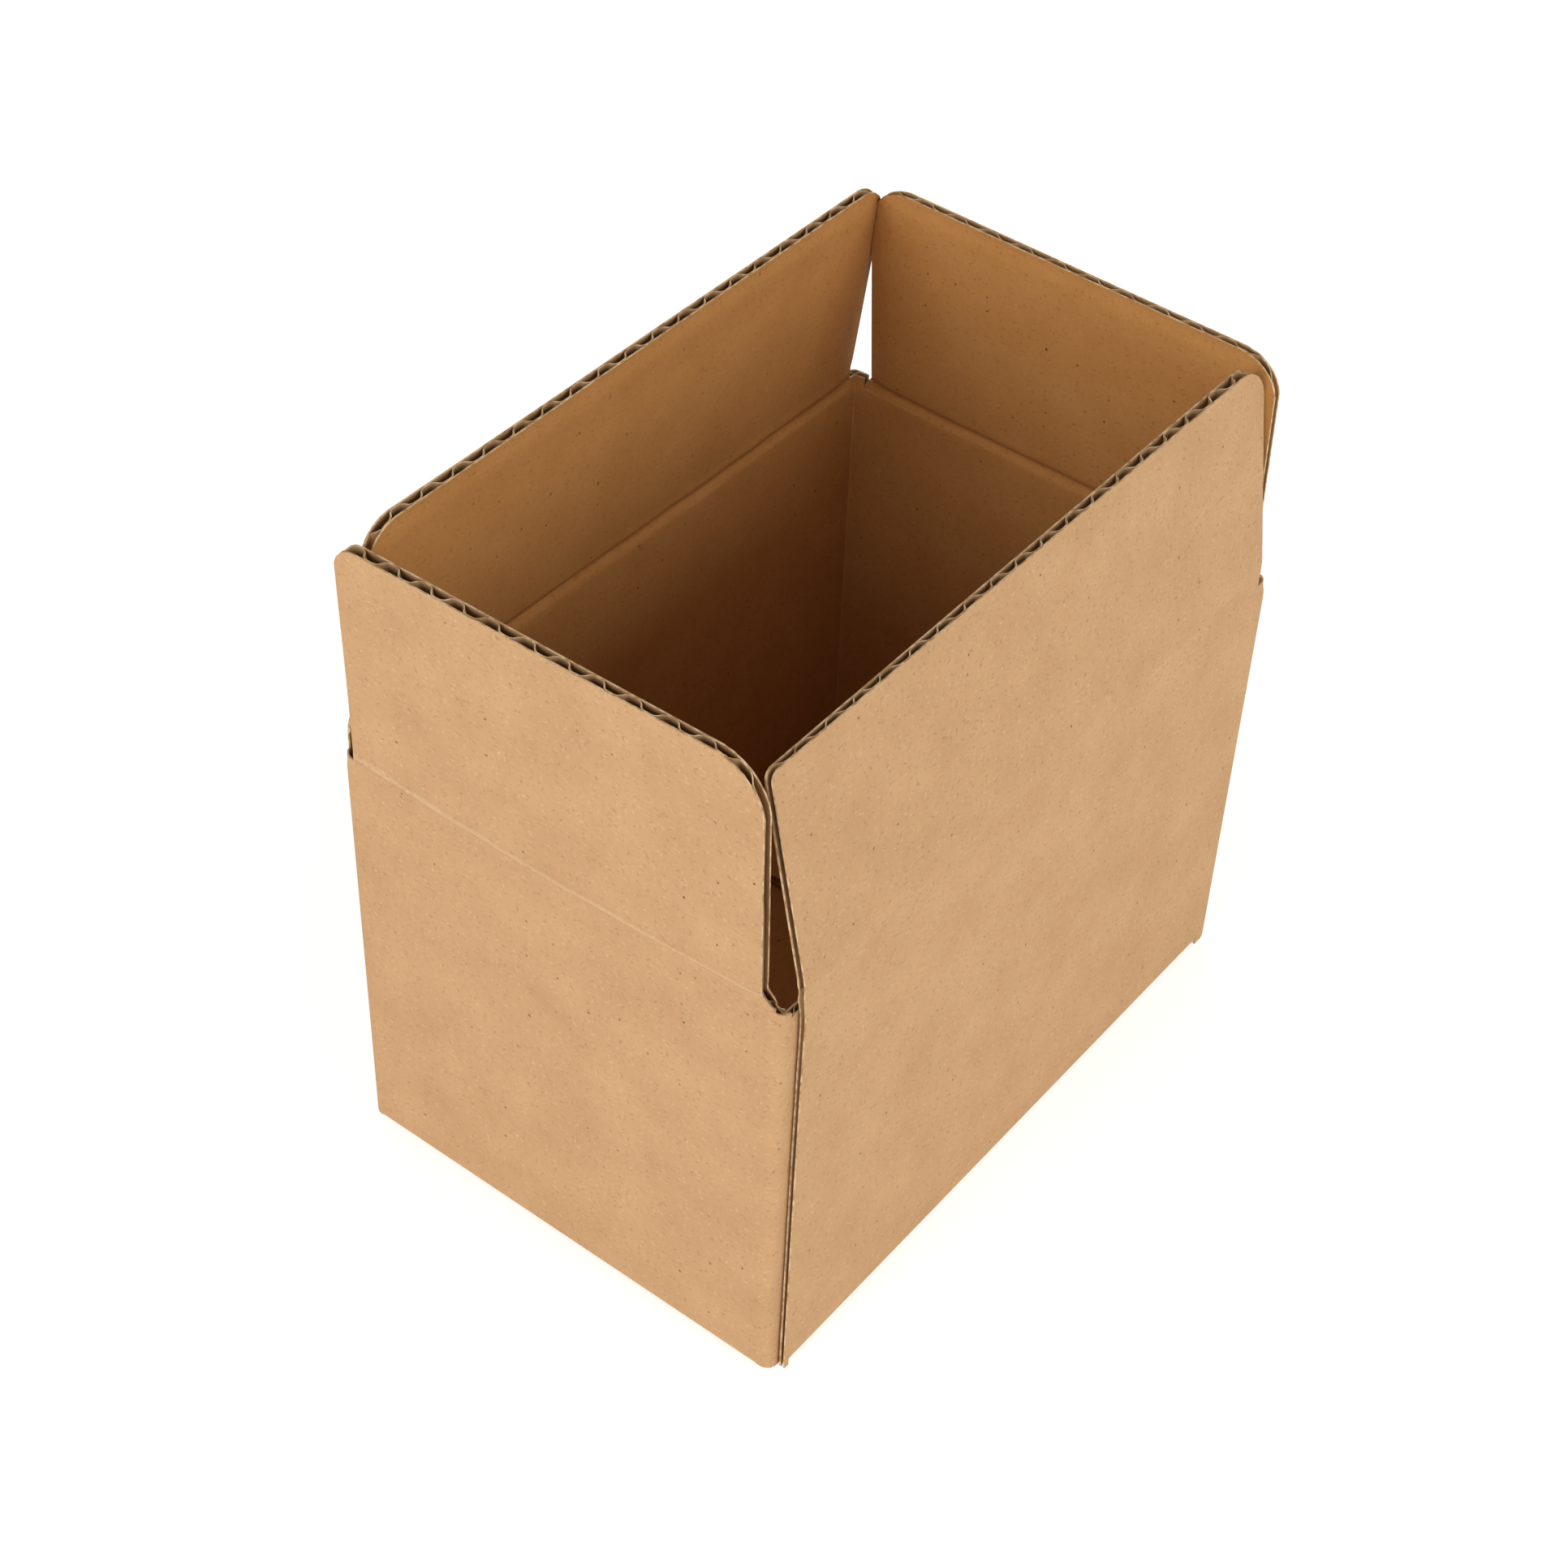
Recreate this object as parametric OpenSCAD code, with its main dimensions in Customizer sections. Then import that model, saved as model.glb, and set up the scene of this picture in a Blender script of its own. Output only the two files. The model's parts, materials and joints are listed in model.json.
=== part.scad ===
// Small regular slotted carton of single-wall corrugated board, standing open.
// One blank, slotted, scored and glued along one corner; the flap scores are the hinges.
// X runs along the long walls, Y along the short walls, Z up from the floor.

/* [Box] */
// Clear length between the short walls
inside_length = 152; // [110:1:300]
// Clear width between the long walls
inside_width = 100; // [70:1:109]
// Height of the short flaps' score above the floor
score_height = 104.5; // [60:0.5:250]
// Width of the seam left between the two long flaps when they are shut
seam_gap = 5.6; // [1:0.2:8]

/* [Board] */
// Thickness of the board
board = 3.6; // [2.5:0.1:5]
// Thickness of one facing liner
liner = 0.35; // [0.2:0.05:0.5]
// Thickness of the fluted medium
medium = 0.3; // [0.2:0.05:0.4]
// Length of one flute wave
flute_pitch = 7.9; // [6:0.1:9]

/* [Folds and slots] */
// Inside radius of the upright corner folds
fold_radius = 0.6; // [0.4:0.1:2]
// How far the corner slots run below the short flaps' score
slot_depth = 1.5; // [0.5:0.5:4]
// Clearance between the mitred faces of a score
score_gap = 0.2; // [0.1:0.05:0.5]
// Distance of a fold axis outside the board's outer face
axis_out = 0.15; // [0.1:0.05:0.4]
// Clearance between layers of board that lie on each other
layer_gap = 0.3; // [0.2:0.1:0.6]
// Clearance between the side of a flap and the flap or wall beside it
side_gap = 0.5; // [0.4:0.1:1.5]

/* [Top flaps] */
// Radius of the flaps' outer corners
corner_radius = 8; // [4:0.5:12]
// Inward lean of the two long flaps as they stand
long_lean = 7; // [0:0.5:8]
// Outward lean of the left short flap as it stands
left_lean_out = 1; // [0:0.5:5]
// Inward lean of the right short flap as it stands
right_lean = 3; // [0:0.5:3]
// Taper of each side of a short flap
short_taper = 3.5; // [0.5:0.5:4]
// Taper of each end of a long flap
long_taper = 1.8; // [0.2:0.2:4]

/* [Glued joint] */
// Length of the glue tab inside the front wall
tab_length = 30; // [15:1:40]
// Set-back of the front wall's raw edge from the left wall's face
raw_edge_setback = 3.1; // [2:0.1:5]
// Thickness of each crushed layer in the glued lap
crushed = 2.2; // [1.5:0.1:2.4]

/* [Hidden] */
$fn = 64;
eps = 0.5;
kraft = "#cda57a";
out_x = inside_length / 2 + board;
out_y = inside_width / 2 + board;
outer_radius = fold_radius + board;

// Short flaps fold first, so the long flaps are scored one layer higher.
long_score = score_height + board + layer_gap;
slot_z = score_height - slot_depth;
// The blank's edge is straight, so all the flaps end at one height.
long_length = out_y - seam_gap / 2;
short_length = long_length + long_score - score_height;
// The sides of the short flaps pass the leaning long flaps, and the other way round.
short_inset = board + side_gap
    + (short_length - corner_radius) * max(0, tan(long_lean) - tan(short_taper));
long_inset = board + side_gap
    + long_length * max(0, tan(right_lean) - tan(long_taper))
    + (long_score - score_height) * tan(right_lean);
// Mitre faces lie half a score gap each side of the 45 degree line through the axis.
mitre_rise = axis_out + score_gap / sqrt(2);

// Bottom layers: the two long flaps outside, the two short flaps inside.
bottom_axis_z = layer_gap - axis_out;
inner_floor = layer_gap + board + layer_gap;
floor_top = inner_floor + board;

// Flute cells: the open spaces between the wavy medium and the liners.
wave = (board - 2 * liner - medium) / 2;
cell_steps = 8;
glue_line = 0.16 * flute_pitch;

function medium_y(x) = board / 2 + wave * cos(360 * x / flute_pitch);

function cell_points(middle, side) = [
    for (i = [0:cell_steps])
        let (x = middle + (flute_pitch - glue_line) * (i / cell_steps - 0.5))
            [x, medium_y(x) + side * medium / 2]
];

// Open space beside one trough (side 1) or one crest (side -1) of the medium
module flute_cell(index, side) {
    middle = (index + (side > 0 ? 0.5 : 0)) * flute_pitch;
    reach = (flute_pitch - glue_line) / 2;
    face = side > 0 ? board - liner : liner;
    polygon(concat(
        cell_points(middle, side),
        [[middle + reach, face], [middle - reach, face]]
    ));
}

// Board section across the flutes, with the outer face at y = 0
module board_section(width) {
    waves = ceil(width / 2 / flute_pitch);
    difference() {
        translate([-width / 2, 0])
            square([width, board]);
        for (k = [-waves:waves], side = [-1, 1])
            flute_cell(k, side);
    }
}

// Flat flap outline: foot on y = 0, tapered sides, two round outer corners
module flap_outline(width, taper, length) {
    round_y = length - corner_radius;
    side_x = width / 2 - tan(taper) * round_y;
    round_x = side_x - corner_radius / cos(taper);
    touch_x = round_x + corner_radius * cos(taper);
    touch_y = round_y + corner_radius * sin(taper);
    polygon([
        [-width / 2, 0],
        [width / 2, 0],
        [touch_x, touch_y],
        [round_x, length],
        [-round_x, length],
        [-touch_x, touch_y]
    ]);
    for (side = [-1, 1])
        translate([side * round_x, round_y])
            circle(corner_radius);
}

// Upright fluted flap, outer face on y = 0, fold axis along X at y = -axis_out
module flap(width, taper, length) {
    intersection() {
        linear_extrude(length + eps)
            board_section(width);
        translate([0, board + eps, 0])
            rotate([90, 0, 0])
                linear_extrude(board + 2 * eps)
                    flap_outline(width, taper, length);
        translate([-width / 2 - eps, 0, 0])
            rotate([90, 0, 90])
                linear_extrude(width + 2 * eps)
                    polygon([
                        [-eps, mitre_rise - eps],
                        [board + eps, mitre_rise + board + eps],
                        [board + eps, length + eps],
                        [-eps, length + eps]
                    ]);
    }
}

// A flap turned about its fold axis, which then lies on the origin
module folded_flap(width, taper, length, angle) {
    rotate([-angle, 0, 0])
        translate([0, axis_out, 0])
            flap(width, taper, length);
}

module long_flap(angle) {
    folded_flap(2 * (out_x - long_inset), long_taper, long_length, angle);
}

module short_flap(angle) {
    folded_flap(2 * (out_y - short_inset), short_taper, short_length, angle);
}

// Rounded rectangle about the origin, half sizes given
module rounded(half_x, half_y, radius) {
    square([2 * (half_x - radius), 2 * half_y], center = true);
    square([2 * half_x, 2 * (half_y - radius)], center = true);
    for (x = [-1, 1], y = [-1, 1])
        translate([x * (half_x - radius), y * (half_y - radius)])
            circle(radius);
}

// Outer rounding of a fold at the origin corner, open towards +X and +Y
module fold_waste(radius) {
    difference() {
        translate([-eps, -eps])
            square(radius + eps);
        translate([radius, radius])
            circle(radius);
    }
}

// Plan of the four walls, with the glued lap at the front left corner
module wall_plan() {
    difference() {
        union() {
            rounded(out_x, out_y, outer_radius);
            translate([-out_x, -out_y])
                square(outer_radius);
        }
        rounded(inside_length / 2, inside_width / 2, fold_radius);
        translate([-out_x - eps, -out_y - eps])
            square([raw_edge_setback + eps, crushed + eps]);
        translate([-out_x, -out_y + crushed])
            fold_waste(outer_radius - crushed / 2);
    }
}

// Inner layer of the lap, standing a little proud of the front wall's inside
module glue_tab() {
    translate([-out_x + board - eps, -out_y + crushed, floor_top])
        cube([tab_length + eps, crushed, slot_z - floor_top]);
}

// Space above a score on a wall that stands along X at y = 0, inside towards +Y
module score_cut(width) {
    top = long_score - score_height + 2 * board;
    translate([-width / 2, 0, 0])
        rotate([90, 0, 90])
            linear_extrude(width)
                polygon([
                    [-eps, top],
                    [-eps, -mitre_rise + eps],
                    [board + eps, -mitre_rise - board - eps],
                    [board + eps, top]
                ]);
}

// Slots between the flaps at the four corners
module corner_slots() {
    for (x = [-1, 1], y = [-1, 1])
        translate([x * (out_x - long_inset / 2), y * (out_y - short_inset / 2), slot_z + long_score])
            cube([long_inset, short_inset, 2 * long_score] + [eps, eps, 0], center = true);
}

// Short bottom flap, lying on the long ones, with its outer face down
module inner_bottom_flap() {
    translate([0, 0, inner_floor])
        linear_extrude(board)
            intersection() {
                flap_outline(2 * (out_y - short_inset), short_taper, short_length);
                translate([-out_y, board / 2])
                    square([2 * out_y, short_length]);
            }
}

module box_body() color(kraft) {
    difference() {
        union() {
            linear_extrude(long_score)
                wall_plan();
            glue_tab();
        }
        corner_slots();
        for (turn = [0, 180])
            rotate([0, 0, turn]) {
                translate([0, -out_y, long_score])
                    score_cut(2 * (out_x - long_inset));
                translate([0, -out_y, bottom_axis_z])
                    mirror([0, 0, 1])
                        score_cut(2 * (out_x - long_inset + side_gap / 2));
            }
        for (turn = [90, -90])
            rotate([0, 0, turn])
                translate([0, -out_x, score_height])
                    score_cut(2 * (out_y - short_inset + side_gap / 2));
        for (turn = [90, -90])
            rotate([0, 0, turn])
                translate([out_y, -out_x, 0])
                    rotate([90, 0, -90])
                        linear_extrude(2 * out_y)
                            fold_waste(board / 2);
    }
    for (turn = [90, -90])
        rotate([0, 0, turn])
            translate([0, -out_x, 0])
                inner_bottom_flap();
}

module front_flap() color(kraft)
    translate([0, -out_y - axis_out, long_score])
        long_flap(long_lean);

module rear_flap() color(kraft)
    rotate([0, 0, 180])
        translate([0, -out_y - axis_out, long_score])
            long_flap(long_lean);

module left_flap() color(kraft)
    rotate([0, 0, -90])
        translate([0, -out_x - axis_out, score_height])
            short_flap(-left_lean_out);

module right_flap() color(kraft)
    rotate([0, 0, 90])
        translate([0, -out_x - axis_out, score_height])
            short_flap(right_lean);

module front_bottom_flap() color(kraft)
    translate([0, -out_y - axis_out, bottom_axis_z])
        mirror([0, 0, 1])
            long_flap(90);

module rear_bottom_flap() color(kraft)
    rotate([0, 0, 180])
        translate([0, -out_y - axis_out, bottom_axis_z])
            mirror([0, 0, 1])
                long_flap(90);

box_body();
front_flap();
rear_flap();
left_flap();
right_flap();
front_bottom_flap();
rear_bottom_flap();
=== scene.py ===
import json
import math

import bpy
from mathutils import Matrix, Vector, noise


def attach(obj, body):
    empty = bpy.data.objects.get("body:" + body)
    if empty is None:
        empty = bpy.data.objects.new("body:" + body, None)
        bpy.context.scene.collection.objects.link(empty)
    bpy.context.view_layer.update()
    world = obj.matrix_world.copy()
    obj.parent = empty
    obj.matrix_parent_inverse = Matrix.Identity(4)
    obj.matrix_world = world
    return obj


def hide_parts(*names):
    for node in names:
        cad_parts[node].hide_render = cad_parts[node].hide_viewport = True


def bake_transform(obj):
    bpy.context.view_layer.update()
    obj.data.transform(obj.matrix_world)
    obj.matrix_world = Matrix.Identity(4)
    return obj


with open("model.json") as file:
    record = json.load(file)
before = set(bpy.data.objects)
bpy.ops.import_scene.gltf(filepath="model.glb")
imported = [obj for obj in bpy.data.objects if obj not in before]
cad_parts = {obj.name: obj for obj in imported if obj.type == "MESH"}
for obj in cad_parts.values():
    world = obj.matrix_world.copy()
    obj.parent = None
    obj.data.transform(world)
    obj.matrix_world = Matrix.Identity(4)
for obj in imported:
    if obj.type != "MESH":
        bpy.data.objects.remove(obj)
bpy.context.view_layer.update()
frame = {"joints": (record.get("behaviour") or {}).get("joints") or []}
folds = {joint["name"]: joint for joint in frame["joints"]}
mm = 0.001

# single-wall board: two liners glued to a wavy medium, flutes upright
board = {
    "thick": 3.6 * mm,
    "liner": 0.36 * mm,
    "medium": 0.3 * mm,
    "pitch": 7.9 * mm,
    "flank": 0.4,  # smaller makes the flutes' flanks steeper and their crests flatter
    "drift": 0.8 * mm,  # how far the flutes stray from an even pitch
    "driftScale": 70,  # strays in a metre
    "waveSteps": 14,  # columns in one wave
    "linerStep": 2.6 * mm,  # columns of a liner
    "bend": 4.0 * mm,  # height of the zone that bends at a score
    "edgeReach": 4.5 * mm,  # how far in a die-cut edge stays squeezed
    "smoothAngle": 32,  # degrees; what turns more than this stays a sharp edge
}
waveHeight = (board["thick"] - 2 * board["liner"] - board["medium"]) / 2

axisOut = 0.15 * mm  # from the board's outer face to a fold axis
halfLong = folds["right_fold"]["pos_m"][0] - axisOut
halfWide = folds["rear_fold"]["pos_m"][1] - axisOut
shortScore = folds["left_fold"]["pos_m"][2]
longScore = folds["front_fold"]["pos_m"][2]
print("frame: half sizes", halfLong, halfWide, "scores", shortScore, longScore)


def hexColor(text):
    # sRGB hex to linear
    parts = [int(text[i:i + 2], 16) / 255 for i in (1, 3, 5)]
    return tuple(c / 12.92 if c <= 0.04045 else ((c + 0.055) / 1.055) ** 2.4 for c in parts) + (1.0,)


def addNode(tree, kind, settings=None, links=None):
    node = tree.nodes.new(kind)
    for key, value in (settings or {}).items():
        if isinstance(key, str) and key in node.bl_rna.properties:
            setattr(node, key, value)
        else:
            node.inputs[key].default_value = value
    for key, source in (links or {}).items():
        tree.links.new(source, node.inputs[key])
    return node


def newMaterial(name, roughness, specular):
    material = bpy.data.materials.new(name)
    material.use_nodes = True
    tree = material.node_tree
    shader = tree.nodes["Principled BSDF"]
    shader.inputs["Roughness"].default_value = roughness
    shader.inputs["Specular IOR Level"].default_value = specular
    return material, tree, shader


# colours of the two liners; the inside one is browner, partly a browner paper and partly painted warm
# bounce light and shade of the box's inside
outerLook = {"light": "#bf986e", "dark": "#b68e65", "pale": "#dcc096", "brown": "#7d5a38",
             "speck": "#402c1d", "broken": "#dcc09b"}
innerLookWithBounce = {"light": "#c28b50", "dark": "#b98247", "pale": "#cb9f66", "brown": "#7d522a",
             "speck": "#3c2818", "broken": "#cf9f62"}
paper = {
    "rough": 0.88,
    "gloss": 0.2,
    "cloud": 16.0,  # mm, paper formation
    "grain": 0.9,  # mm, fine mottling and tooth, drawn coarser than the real 0.1 mm so that they show
    "grainShare": 0.2,
    "ragged": 0.9 * mm,  # how far the grain frays flecks and specks
    "speckCell": 7.5,  # mm between bark specks
    "speckSize": (0.046, 0.022),  # in cells, where a speck ends and where it is full
    "speckFrom": 0.66,  # share of the cells that have none
    "tooth": (0.2, 0.12 * mm),  # strength and depth of the surface's tooth
    "ribs": (0.1, 0.3 * mm),  # strength and depth of the flutes showing through
    "strayCell": 3.0,  # mm, wobble of a score's lines
    "stray": 0.8 * mm,
    # lines along a score, a pale one of cracked paper and painted highlight on its ridge and a brown one
    # of painted shade under it: colour, drop below it, half width where full and where it ends, strength
    "scoreLines": (
        ("brown", 1.1 * mm, 0.1 * mm, 0.7 * mm, 0.3),
        ("broken", 0.0, 0.2 * mm, 1.1 * mm, 0.55),
    ),
    "fleckEdge": (1.35, 0.6),  # in half widths, where a fleck ends and where it is full
    # fibre bundles, drawn coarser than the real 0.1 mm so that they show:
    # turn, colour, cell in mm, how long against wide, half width in cells, strength, seed
    "flecks": (
        (8, "pale", 2.5, 1.8, 0.1, 0.32, 3.1),
        (-38, "pale", 2.9, 1.7, 0.09, 0.28, 17.3),
        (64, "pale", 3.1, 1.7, 0.09, 0.25, 29.9),
        (-14, "brown", 2.4, 1.8, 0.1, 0.44, 41.7),
        (35, "brown", 2.9, 1.7, 0.09, 0.4, 53.5),
        (-70, "brown", 3.2, 1.6, 0.09, 0.38, 61.3),
    ),
}


def kraftLinerMaterial(name, look):
    # kraft liner, machine made and uncoated: matt, evenly brown, with short pale and dark fibre
    # bundles lying all ways, a few dark specks of bark, the flutes just showing through, and
    # the paper cracked pale along a score, with a painted highlight on the score's ridge and painted
    # shade under it
    material, tree, shader = newMaterial(name, paper["rough"], paper["gloss"])
    place = addNode(tree, "ShaderNodeUVMap", {"uv_map": "blank"}).outputs["UV"]
    cloud = addNode(tree, "ShaderNodeTexNoise", {
        "Scale": 1000 / paper["cloud"], "Detail": 6.0, "Roughness": 0.62}, {
        "Vector": place}).outputs["Fac"]
    cloudStep = addNode(tree, "ShaderNodeMapRange", {
        "From Min": 0.32, "From Max": 0.68}, {"Value": cloud}).outputs["Result"]
    tone = addNode(tree, "ShaderNodeMix", {
        "data_type": "RGBA", 6: hexColor(look["dark"]), 7: hexColor(look["light"])}, {
        0: cloudStep}).outputs[2]
    grain = addNode(tree, "ShaderNodeTexNoise", {
        "Scale": 1000 / paper["grain"], "Detail": 3.0, "Roughness": 0.7}, {"Vector": place})
    grainStep = addNode(tree, "ShaderNodeMapRange", {
        "From Min": 0.5, "From Max": 0.75, "To Max": paper["grainShare"]}, {
        "Value": grain.outputs["Fac"]}).outputs["Result"]
    tone = addNode(tree, "ShaderNodeMix", {
        "data_type": "RGBA", 7: hexColor(look["brown"])}, {0: grainStep, 6: tone}).outputs[2]
    # ragged outlines: the grain pushes the flecks' coordinates about
    ragged = addNode(tree, "ShaderNodeVectorMath", {
        "operation": "MULTIPLY_ADD", 1: (paper["ragged"], paper["ragged"], 0)}, {
        0: grain.outputs["Color"], 2: place}).outputs["Vector"]
    ends, full = paper["fleckEdge"]
    for turn, color, cell, stretch, size, strength, seed in paper["flecks"]:
        lay = addNode(tree, "ShaderNodeMapping", {
            "vector_type": "TEXTURE", "Location": (seed, seed, 0),
            "Rotation": (0, 0, math.radians(turn)),
            "Scale": (cell * stretch * mm, cell / stretch * mm, 1)}, {
            "Vector": ragged}).outputs["Vector"]
        cells = addNode(tree, "ShaderNodeTexVoronoi", {
            "voronoi_dimensions": "2D", "Scale": 1.0, "Randomness": 1.0}, {"Vector": lay})
        inside = addNode(tree, "ShaderNodeMapRange", {
            "From Min": size * ends, "From Max": size * full}, {
            "Value": cells.outputs["Distance"]}).outputs["Result"]
        chance = addNode(tree, "ShaderNodeSeparateColor", None, {
            "Color": cells.outputs["Color"]}).outputs[0]
        depth = addNode(tree, "ShaderNodeMapRange", {
            "From Min": 0.3, "From Max": 1.0, "To Max": strength}, {
            "Value": chance}).outputs["Result"]
        share = addNode(tree, "ShaderNodeMath", {"operation": "MULTIPLY"}, {
            0: inside, 1: depth}).outputs[0]
        tone = addNode(tree, "ShaderNodeMix", {
            "data_type": "RGBA", 7: hexColor(look[color])}, {0: share, 6: tone}).outputs[2]
    # specks of bark: a small dot in some of the cells
    cells = addNode(tree, "ShaderNodeTexVoronoi", {
        "voronoi_dimensions": "2D", "Scale": 1000 / paper["speckCell"], "Randomness": 1.0}, {
        "Vector": ragged})
    dot = addNode(tree, "ShaderNodeMapRange", {
        "From Min": paper["speckSize"][0], "From Max": paper["speckSize"][1]}, {
        "Value": cells.outputs["Distance"]}).outputs["Result"]
    chance = addNode(tree, "ShaderNodeSeparateColor", None, {
        "Color": cells.outputs["Color"]}).outputs[0]
    rare = addNode(tree, "ShaderNodeMapRange", {
        "From Min": paper["speckFrom"], "From Max": 1.0, "To Max": 0.85}, {
        "Value": chance}).outputs["Result"]
    speck = addNode(tree, "ShaderNodeMath", {"operation": "MULTIPLY"}, {0: dot, 1: rare}).outputs[0]
    tone = addNode(tree, "ShaderNodeMix", {
        "data_type": "RGBA", 7: hexColor(look["speck"])}, {0: speck, 6: tone}).outputs[2]
    # the score: a wobbling pale band, partly paper cracked pale and partly a painted highlight where the
    # score's ridge catches light, and a darker line just below it, painted shade under the ridge
    crease = addNode(tree, "ShaderNodeAttribute", {"attribute_name": "creaseGap"}).outputs["Fac"]
    stray = addNode(tree, "ShaderNodeTexNoise", {
        "Scale": 1000 / paper["strayCell"], "Detail": 3.0}, {"Vector": place}).outputs["Fac"]
    strayStep = addNode(tree, "ShaderNodeMapRange", {
        "To Min": -paper["stray"], "To Max": paper["stray"]}, {"Value": stray}).outputs["Result"]
    wobble = addNode(tree, "ShaderNodeMath", {"operation": "ADD"}, {0: crease, 1: strayStep}).outputs[0]
    patch = addNode(tree, "ShaderNodeMapRange", {
        "From Min": 0.3, "From Max": 0.6, "To Min": 0.1, "To Max": 0.55}, {
        "Value": grain.outputs["Fac"]}).outputs["Result"]
    for color, drop, near, far, strength in paper["scoreLines"]:
        away = addNode(tree, "ShaderNodeMath", {"operation": "ADD", 1: drop}, {0: wobble}).outputs[0]
        away = addNode(tree, "ShaderNodeMath", {"operation": "ABSOLUTE"}, {0: away}).outputs[0]
        line = addNode(tree, "ShaderNodeMapRange", {
            "From Min": far, "From Max": near, "To Max": strength}, {"Value": away}).outputs["Result"]
        share = addNode(tree, "ShaderNodeMath", {"operation": "MULTIPLY"}, {
            0: line, 1: patch}).outputs[0]
        tone = addNode(tree, "ShaderNodeMix", {
            "data_type": "RGBA", 7: hexColor(look[color])}, {0: share, 6: tone}).outputs[2]
    tree.links.new(tone, shader.inputs["Base Color"])
    # tooth of the paper, and the flutes showing through; at scale 1 a wave texture has 20 / 2 pi
    # waves in a metre
    toothBump = addNode(tree, "ShaderNodeBump", {
        "Strength": paper["tooth"][0], "Distance": paper["tooth"][1]}, {"Height": grain.outputs["Fac"]})
    flutes = addNode(tree, "ShaderNodeTexWave", {
        "Scale": 2 * math.pi / 20 / board["pitch"], "Distortion": 0.4, "Detail": 1.0}, {
        "Vector": place}).outputs["Fac"]
    fluteBump = addNode(tree, "ShaderNodeBump", {
        "Strength": paper["ribs"][0], "Distance": paper["ribs"][1]}, {
        "Height": flutes, "Normal": toothBump.outputs["Normal"]})
    tree.links.new(fluteBump.outputs["Normal"], shader.inputs["Normal"])
    return material


tornPaper = {
    "rough": 0.95, "gloss": 0.1, "dark": "#a37d54", "light": "#d8bb93",
    "fuzz": 1.6,  # mm, drawn coarser than the real fibre ends so that it shows
    "bump": (0.3, 0.1 * mm),  # strength and depth
}
# colours of the fluting medium, which also paint shade on the liners' sides inside the flutes
fluting = {
    "rough": 0.95, "gloss": 0.1, "dark": "#96714a", "light": "#b8926a",
    "cloud": 3.0,  # mm
}


def cutEdgeMaterial():
    # die-cut edge of the paper: torn fibre ends, paler than the faces and a little fuzzy
    material, tree, shader = newMaterial(
        "kraft_paper_die_cut_edge", tornPaper["rough"], tornPaper["gloss"])
    place = addNode(tree, "ShaderNodeTexCoord").outputs["Object"]
    fuzz = addNode(tree, "ShaderNodeTexNoise", {
        "Scale": 1000 / tornPaper["fuzz"], "Detail": 4.0}, {"Vector": place}).outputs["Fac"]
    fuzzStep = addNode(tree, "ShaderNodeMapRange", {
        "From Min": 0.35, "From Max": 0.65}, {"Value": fuzz}).outputs["Result"]
    tone = addNode(tree, "ShaderNodeMix", {
        "data_type": "RGBA", 6: hexColor(tornPaper["dark"]), 7: hexColor(tornPaper["light"])}, {
        0: fuzzStep}).outputs[2]
    tree.links.new(tone, shader.inputs["Base Color"])
    bump = addNode(tree, "ShaderNodeBump", {
        "Strength": tornPaper["bump"][0], "Distance": tornPaper["bump"][1]}, {"Height": fuzz})
    tree.links.new(bump.outputs["Normal"], shader.inputs["Normal"])
    return material


def fluteAndHollowShadeMaterial():
    # fluting medium of recycled fibre, darker and rougher than the faces; the same colour on the liners'
    # glued sides inside the flutes is painted shade of the hollows
    material, tree, shader = newMaterial("fluting_medium_recycled", fluting["rough"], fluting["gloss"])
    place = addNode(tree, "ShaderNodeTexCoord").outputs["Object"]
    cloud = addNode(tree, "ShaderNodeTexNoise", {
        "Scale": 1000 / fluting["cloud"], "Detail": 4.0}, {"Vector": place}).outputs["Fac"]
    tone = addNode(tree, "ShaderNodeMix", {
        "data_type": "RGBA", 6: hexColor(fluting["dark"]), 7: hexColor(fluting["light"])}, {
        0: cloud}).outputs[2]
    tree.links.new(tone, shader.inputs["Base Color"])
    return material


outerLiner = kraftLinerMaterial("kraft_liner_outside", outerLook)
# the inside liner is browner, partly in its paper and partly painted warm bounce light and shade of the
# box's inside
innerLinerWithBounce = kraftLinerMaterial("kraft_liner_inside", innerLookWithBounce)
cutEdge = cutEdgeMaterial()
fluteMediumAndHollowShade = fluteAndHollowShadeMaterial()
print("materials: two kraft liners, cut edge, fluting medium")


def ease(t):
    t = min(max(t, 0.0), 1.0)
    return t * t * (3 - 2 * t)


def bell(distance, width):
    return math.exp(-(distance / width) ** 2)


def onlySelect(*objects):
    bpy.ops.object.select_all(action="DESELECT")
    for item in objects:
        item.select_set(True)
    bpy.context.view_layer.objects.active = objects[0]


def slicePlanes(sheet, planes, clear):
    # cuts along planes; clear drops what lies outside each of them
    onlySelect(sheet)
    bpy.ops.object.mode_set(mode="EDIT")
    for point, normal in planes:
        bpy.ops.mesh.select_all(action="SELECT")
        bpy.ops.mesh.bisect(plane_co=point, plane_no=normal, clear_outer=clear)
    bpy.ops.object.mode_set(mode="OBJECT")


def dropFaces(sheet, inWaste):
    onlySelect(sheet)
    bpy.ops.object.mode_set(mode="EDIT")
    bpy.ops.mesh.select_mode(type="FACE")
    bpy.ops.mesh.select_all(action="DESELECT")
    bpy.ops.object.mode_set(mode="OBJECT")
    for face in sheet.data.polygons:
        face.select = inWaste(face.center.x, face.center.z)
    bpy.ops.object.mode_set(mode="EDIT")
    bpy.ops.mesh.delete(type="FACE")
    bpy.ops.object.mode_set(mode="OBJECT")


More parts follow.
